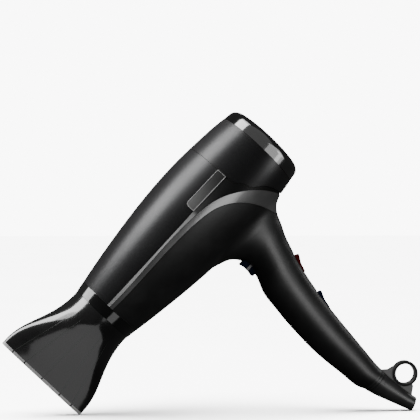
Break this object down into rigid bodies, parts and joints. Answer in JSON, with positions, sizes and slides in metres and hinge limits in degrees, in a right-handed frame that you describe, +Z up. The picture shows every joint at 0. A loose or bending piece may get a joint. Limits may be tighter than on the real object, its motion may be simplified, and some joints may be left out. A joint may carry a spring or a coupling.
{
  "type": "hair dryer",
  "caption": "Pistol-grip hair dryer with a flat pull-off nozzle, removable rear filter, rocker switches, cool-shot button and hanging loop, resting on nozzle and cord guard.",
  "frame": {"origin": "middle of the bounding box on the floor, with the dryer put down on its nozzle and cord guard", "axes": "+Z up, +X from the nozzle towards the cord guard, +Y across the dryer"},
  "size_m": [0.367, 0.0892, 0.2648],
  "materials": {
    "satin_black_shell": "satin metallic black",
    "matte_black_body": "fine matte black",
    "gloss_black": "high gloss black",
    "grey_band": "satin dark grey",
    "smoked_nozzle": "polished black",
    "nozzle_trim": "satin grey",
    "badge_metal": "brushed dark metal",
    "guard_rubber": "semi-gloss black",
    "loop_rubber": "dark grey",
    "navy_button": "navy",
    "red_rocker": "red",
    "white_mark": "white",
    "grille_black": "matte black",
    "filter_steel": "fine steel mesh",
    "inner_plastic": "plain dark",
    "mica": "mica board",
    "heater_wire": "nichrome",
    "steel": "bright steel",
    "magnet": "ferrite",
    "fan_plastic": "glass-filled nylon",
    "circuit": "green circuit board",
    "bearing_brass": "sintered bronze"
  },
  "bodies": {
    "body": {"upper_front_shell": "satin_black_shell", "rear_housing": "satin_black_shell", "left_body_half": "matte_black_body", "right_body_half": "matte_black_body", "swoosh_band": "grey_band", "left_side_trim": "gloss_black", "right_side_trim": "gloss_black", "left_badge": "badge_metal", "right_badge": "badge_metal", "outlet_collar": "gloss_black", "outlet_grille": "grille_black", "inlet_frame": "grille_black", "cool_shot_switch": "inner_plastic", "heat_rocker_pin": "steel", "heat_switch": "inner_plastic", "speed_rocker_pin": "steel", "speed_switch": "inner_plastic", "circuit_board": "circuit", "board_components": "inner_plastic", "terminal_block": "inner_plastic", "body_screws": "steel", "cord_clamp": "inner_plastic", "cord_clamp_screws": "steel", "cord_guard": "guard_rubber", "hang_loop": "loop_rubber", "heater_sleeve": "mica", "mica_frame": "mica", "heater_coils": "heater_wire", "thermostat": "steel", "thermal_fuse": "steel", "ioniser": "inner_plastic", "fan_duct": "inner_plastic", "motor_can": "steel", "front_bearing": "bearing_brass", "rear_bearing": "bearing_brass", "motor_magnets": "magnet"},
    "nozzle_coupling": {"nozzle_snap_ring": "steel"},
    "nozzle": {"nozzle_shell": "smoked_nozzle", "nozzle_lip": "nozzle_trim"},
    "rear_filter": {"rear_ring": "gloss_black", "rear_grille": "grille_black", "filter_mesh": "filter_steel"},
    "heat_rocker": {"heat_rocker": "red_rocker", "heat_rocker_mark": "white_mark"},
    "speed_rocker": {"speed_rocker": "navy_button", "speed_rocker_mark": "white_mark"},
    "cool_button": {"cool_shot_button": "navy_button", "cool_shot_stripe": "white_mark"},
    "rotor": {"motor_armature": "heater_wire", "rotor_shaft": "steel", "fan": "fan_plastic"}
  },
  "joints": [
    {"name": "nozzle_pull", "type": "slide", "parent": "body", "child": "nozzle_coupling", "axis": [-0.6872, 0, -0.7265], "range_m": [0, 0.03]},
    {"name": "nozzle_spin", "type": "hinge", "parent": "nozzle_coupling", "child": "nozzle", "pos_m": [-0.10253, 0, 0.08174], "axis": [0.6872, 0, 0.7265], "continuous": true},
    {"name": "rear_filter_pull", "type": "slide", "parent": "body", "child": "rear_filter", "axis": [0.6872, 0, 0.7265], "range_m": [0, 0.025]},
    {"name": "heat_rocker_tilt", "type": "hinge", "parent": "body", "child": "heat_rocker", "pos_m": [0.07142, 0, 0.12928], "axis": [0, -1, 0], "range_deg": [0, 18]},
    {"name": "speed_rocker_tilt", "type": "hinge", "parent": "body", "child": "speed_rocker", "pos_m": [0.09284, 0, 0.09638], "axis": [0, -1, 0], "range_deg": [0, 18]},
    {"name": "cool_shot_press", "type": "slide", "parent": "body", "child": "cool_button", "axis": [0.6872, 0, 0.7265], "range_m": [0, 0.002], "stiffness_N_per_m": 400, "springref_m": -0.001},
    {"name": "fan_spin", "type": "hinge", "parent": "body", "child": "rotor", "pos_m": [0.0088, 0, 0.19942], "axis": [0.6872, 0, 0.7265], "continuous": true}
  ]
}
